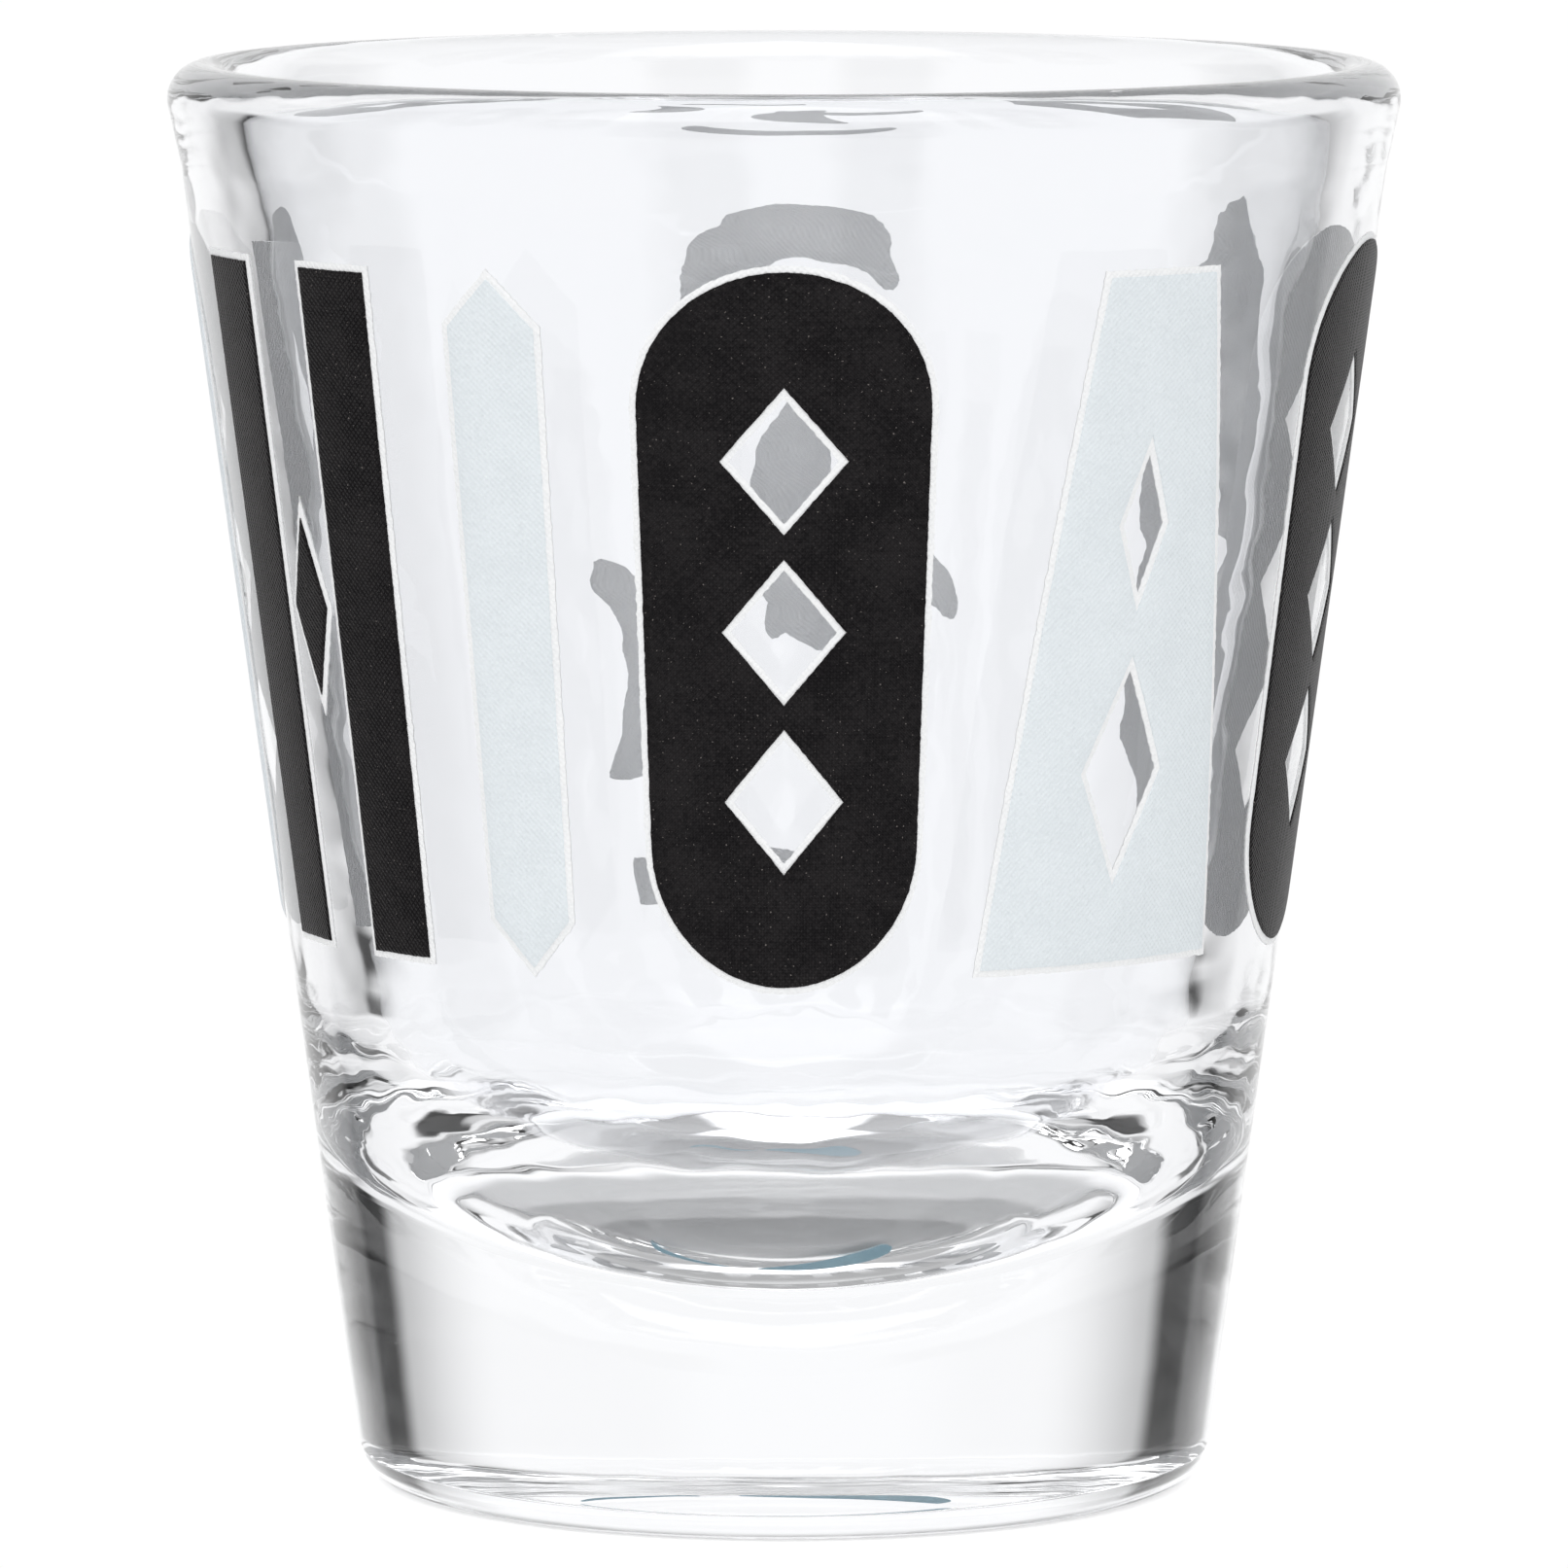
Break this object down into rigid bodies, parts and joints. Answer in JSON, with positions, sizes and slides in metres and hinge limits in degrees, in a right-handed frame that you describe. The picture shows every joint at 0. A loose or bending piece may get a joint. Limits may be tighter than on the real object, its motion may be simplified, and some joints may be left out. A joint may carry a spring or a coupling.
{
  "type": "shot glass",
  "caption": "Tapered souvenir shot glass with a thick solid base and a black and pale blue-grey geometric enamel print round the wall.",
  "frame": {"origin": "centre of the foot, on the plane it rests on", "axes": "+Z along the glass's axis towards the lip, -Y towards the figure in the middle of the print, +X to the right of it seen from the front"},
  "size_m": [0.0518, 0.0518, 0.06],
  "materials": {
    "glass": "clear polished",
    "white_enamel": "satin fired enamel",
    "black_enamel": "satin fired enamel with a fine screen mesh",
    "pale_enamel": "satin fired enamel with a fine screen mesh",
    "blue_enamel": "satin fired enamel"
  },
  "bodies": {
    "root": {"glass_body": "glass", "capsule_left_underprint": "white_enamel", "capsule_left_coat": "pale_enamel", "twin_bars_underprint": "white_enamel", "twin_bars_coat": "black_enamel", "slim_bar_underprint": "white_enamel", "slim_bar_coat": "pale_enamel", "capsule_front_underprint": "white_enamel", "capsule_front_coat": "black_enamel", "spire_underprint": "white_enamel", "spire_coat": "pale_enamel", "capsule_right_underprint": "white_enamel", "capsule_right_coat": "black_enamel", "long_lozenge_underprint": "white_enamel", "long_lozenge_coat": "pale_enamel", "brush_strokes_underprint": "white_enamel", "brush_strokes_coat": "black_enamel", "base_mark": "blue_enamel"}
  },
  "joints": []
}
